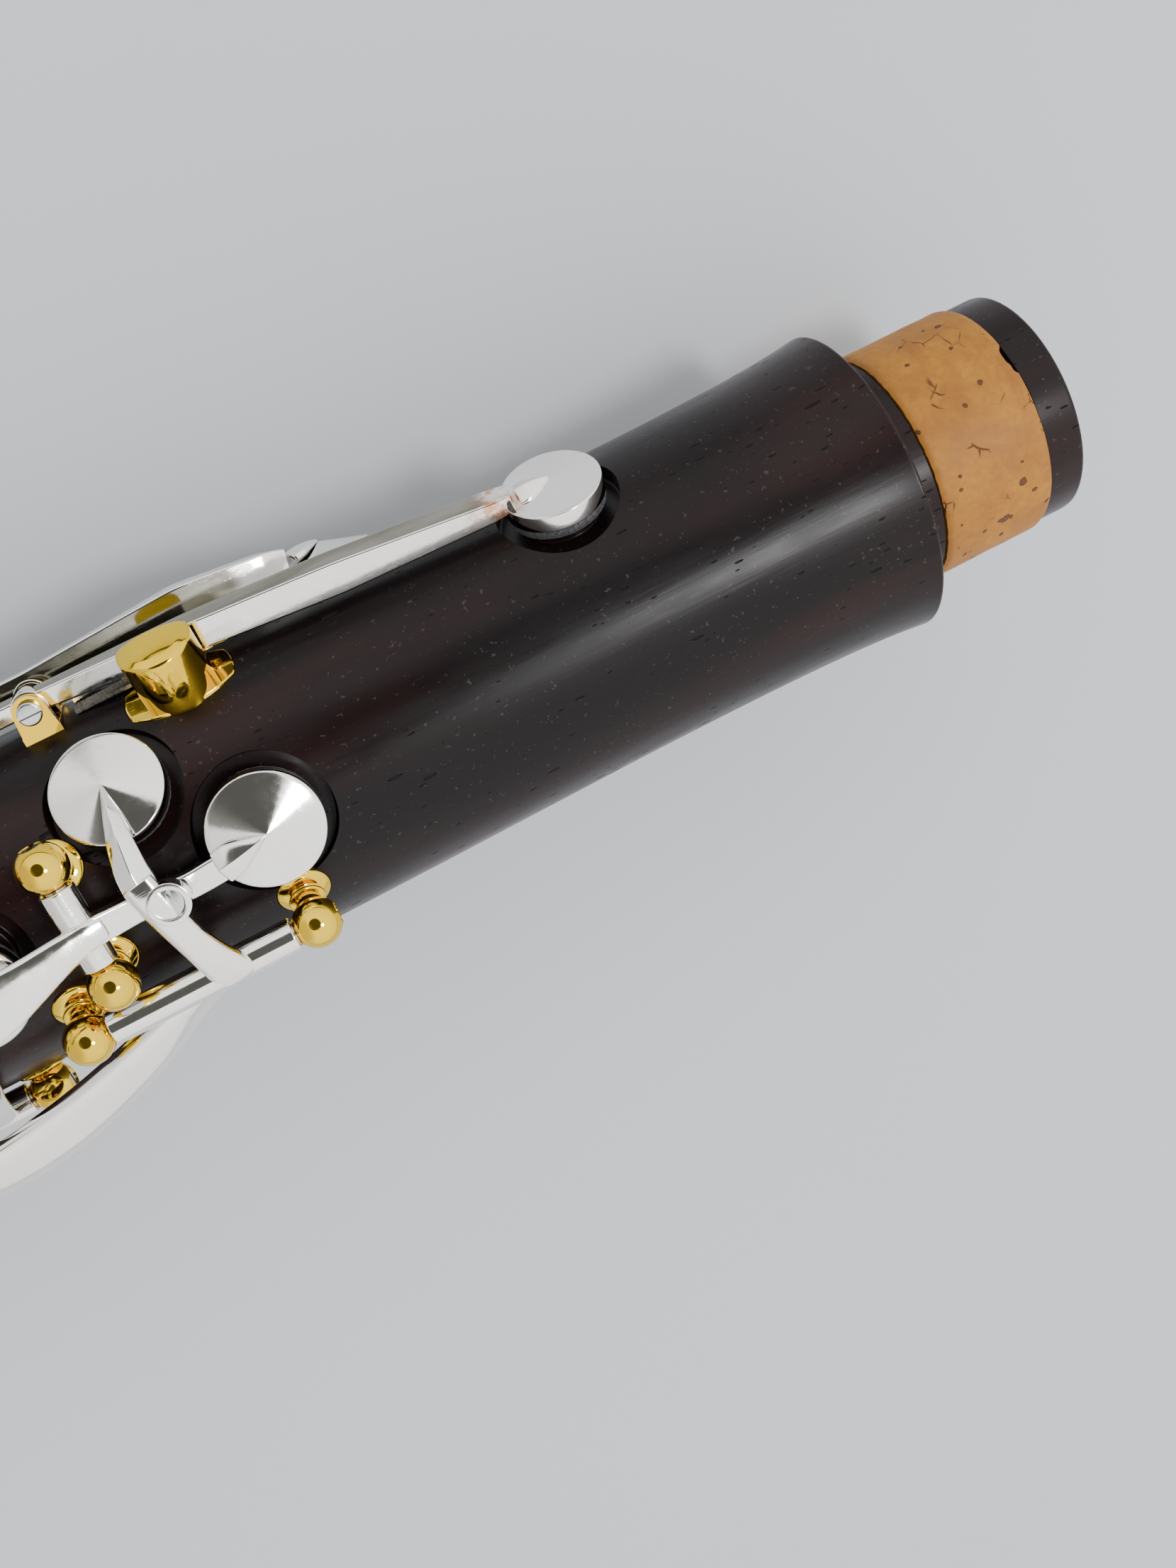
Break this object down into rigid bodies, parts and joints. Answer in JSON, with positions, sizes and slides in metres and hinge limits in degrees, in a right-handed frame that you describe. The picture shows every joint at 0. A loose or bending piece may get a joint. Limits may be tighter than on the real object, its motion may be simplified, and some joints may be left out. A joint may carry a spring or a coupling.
{
  "type": "clarinet upper joint",
  "caption": "Boehm-system clarinet upper joint: dark wood tube with corked tenons, finger rings, padded keys, ball posts and side trill keys that all move.",
  "frame": {"origin": "on the axis of the air bore, in the plane of the body's lower shoulder", "axes": "+X up the bore towards the barrel, +Z the front with the finger holes, +Y the side of the trill keys"},
  "size_m": [0.227, 0.0399, 0.0404],
  "materials": {
    "grenadilla": "very dark brown-black hardwood with open pores, oiled and polished to a soft gloss",
    "cork": "natural sheet cork with brown lenticels, matte",
    "silver_plate": "polished silver plate, mirror bright",
    "gold_plate": "polished gold plate, mirror bright",
    "steel": "turned steel",
    "spring_steel": "polished flat spring",
    "pad_leather": "black leather, finely wrinkled"
  },
  "bodies": {
    "joint_body": {"body": "grenadilla", "barrel_tenon_cork": "cork", "lower_tenon_cork": "cork", "register_vent_tube": "silver_plate", "thumb_hole_tube": "silver_plate", "a_key_posts": "gold_plate", "ab_key_posts": "gold_plate", "vent_key_posts": "gold_plate", "thumb_key_posts": "gold_plate", "ring_key_posts": "gold_plate", "sliver_key_posts": "gold_plate", "cs_key_posts": "gold_plate", "trill_saddle": "gold_plate", "side_saddle": "gold_plate", "register_saddle": "gold_plate", "trill_guide": "gold_plate", "a_key_rod": "steel", "ab_key_rod": "steel", "vent_key_rod": "steel", "thumb_key_rod": "steel", "ring_key_rod": "steel", "sliver_key_rod": "steel", "cs_key_rod": "steel", "trill_screw": "steel", "side_screw": "steel", "register_screw": "steel"},
    "a_key_body": {"a_key": "silver_plate", "a_pad": "pad_leather"},
    "ab_key_body": {"ab_key": "silver_plate", "ab_pad": "pad_leather", "ab_adjusting_screw": "steel"},
    "vent_key_body": {"vent_key": "silver_plate", "vent_pad": "pad_leather"},
    "thumb_ring_body": {"thumb_ring_key": "silver_plate"},
    "ring_key_body": {"ring_key": "silver_plate", "ring_key_pad": "pad_leather"},
    "sliver_key_body": {"sliver_key": "silver_plate", "sliver_pad": "pad_leather"},
    "cs_key_body": {"cs_key": "silver_plate", "cs_pad": "pad_leather"},
    "trill_key_4_body": {"trill_key_4": "silver_plate", "trill_pad_4": "pad_leather", "trill_spring_4": "spring_steel"},
    "trill_key_3_body": {"trill_key_3": "silver_plate", "trill_pad_3": "pad_leather", "trill_spring_3": "spring_steel"},
    "side_key_2_body": {"side_key_2": "silver_plate", "side_pad_2": "pad_leather", "side_spring_2": "spring_steel"},
    "side_key_1_body": {"side_key_1": "silver_plate", "side_pad_1": "pad_leather", "side_spring_1": "spring_steel"},
    "register_key_body": {"register_key": "silver_plate", "register_pad": "pad_leather", "register_spring": "spring_steel"}
  },
  "joints": [
    {"name": "a_key_hinge", "type": "hinge", "parent": "joint_body", "child": "a_key_body", "pos_m": [0.1121, 0, 0.0166], "axis": [0, -1, 0], "range_deg": [0, 8], "stiffness_Nm_per_rad": 0.06, "springref_deg": -20.05},
    {"name": "ab_key_hinge", "type": "hinge", "parent": "joint_body", "child": "ab_key_body", "pos_m": [0.1181, -0.0092, 0.0152], "axis": [1, 0, 0], "range_deg": [0, 7.3], "stiffness_Nm_per_rad": 0.06, "springref_deg": -20.05},
    {"name": "vent_key_hinge", "type": "hinge", "parent": "joint_body", "child": "vent_key_body", "pos_m": [0.09175, -0.01576, 0.00278], "axis": [-1, 0, 0], "range_deg": [0, 6], "stiffness_Nm_per_rad": 0.04, "springref_deg": -11.46},
    {"name": "thumb_ring_hinge", "type": "hinge", "parent": "joint_body", "child": "thumb_ring_body", "pos_m": [0.094, -0.01249, -0.01048], "axis": [1, 0, 0], "range_deg": [0, 4.4], "stiffness_Nm_per_rad": 0.04, "springref_deg": -11.46},
    {"name": "ring_key_hinge", "type": "hinge", "parent": "joint_body", "child": "ring_key_body", "pos_m": [0.0536, 0.00967, 0.01434], "axis": [1, 0, 0], "range_deg": [0, 6], "stiffness_Nm_per_rad": 0.05, "springref_deg": -14.32},
    {"name": "sliver_key_hinge", "type": "hinge", "parent": "joint_body", "child": "sliver_key_body", "pos_m": [0.05475, -0.01393, 0.00975], "axis": [-1, 0, 0], "range_deg": [0, 9], "stiffness_Nm_per_rad": 0.06, "springref_deg": -20.05},
    {"name": "cs_key_hinge", "type": "hinge", "parent": "joint_body", "child": "cs_key_body", "pos_m": [0.025, -0.01623, 0.00435], "axis": [1, 0, 0], "range_deg": [0, 10], "stiffness_Nm_per_rad": 0.06, "springref_deg": -20.05},
    {"name": "trill_key_4_hinge", "type": "hinge", "parent": "joint_body", "child": "trill_key_4_body", "pos_m": [0.1152, 0.01588, 0.00195], "axis": [0, -0.1219, 0.9925], "range_deg": [0, 2.9], "stiffness_Nm_per_rad": 0.15, "springref_deg": -17.19, "deforming": ["trill_spring_4"]},
    {"name": "trill_key_3_hinge", "type": "hinge", "parent": "joint_body", "child": "trill_key_3_body", "pos_m": [0.1152, 0.01588, 0.00195], "axis": [0, -0.1219, 0.9925], "range_deg": [0, 2.4], "stiffness_Nm_per_rad": 0.15, "springref_deg": -17.19, "deforming": ["trill_spring_3"]},
    {"name": "side_key_2_hinge", "type": "hinge", "parent": "joint_body", "child": "side_key_2_body", "pos_m": [0.051, 0.01584, -0.00223], "axis": [0, 0.1392, 0.9903], "range_deg": [0, 4], "stiffness_Nm_per_rad": 0.12, "springref_deg": -17.19, "deforming": ["side_spring_2"]},
    {"name": "side_key_1_hinge", "type": "hinge", "parent": "joint_body", "child": "side_key_1_body", "pos_m": [0.051, 0.01584, -0.00223], "axis": [0, 0.1392, 0.9903], "range_deg": [0, 5], "stiffness_Nm_per_rad": 0.12, "springref_deg": -17.19, "deforming": ["side_spring_1"]},
    {"name": "register_key_hinge", "type": "hinge", "parent": "joint_body", "child": "register_key_body", "pos_m": [0.139, 0, -0.016], "axis": [0, 1, 0], "range_deg": [0, 5], "stiffness_Nm_per_rad": 0.12, "springref_deg": -17.19, "deforming": ["register_spring"]}
  ],
  "couplings": [
    {"joint": "ab_key_hinge", "follows": "a_key_hinge", "ratio": 0.9},
    {"joint": "vent_key_hinge", "follows": "thumb_ring_hinge", "ratio": 1.36}
  ]
}
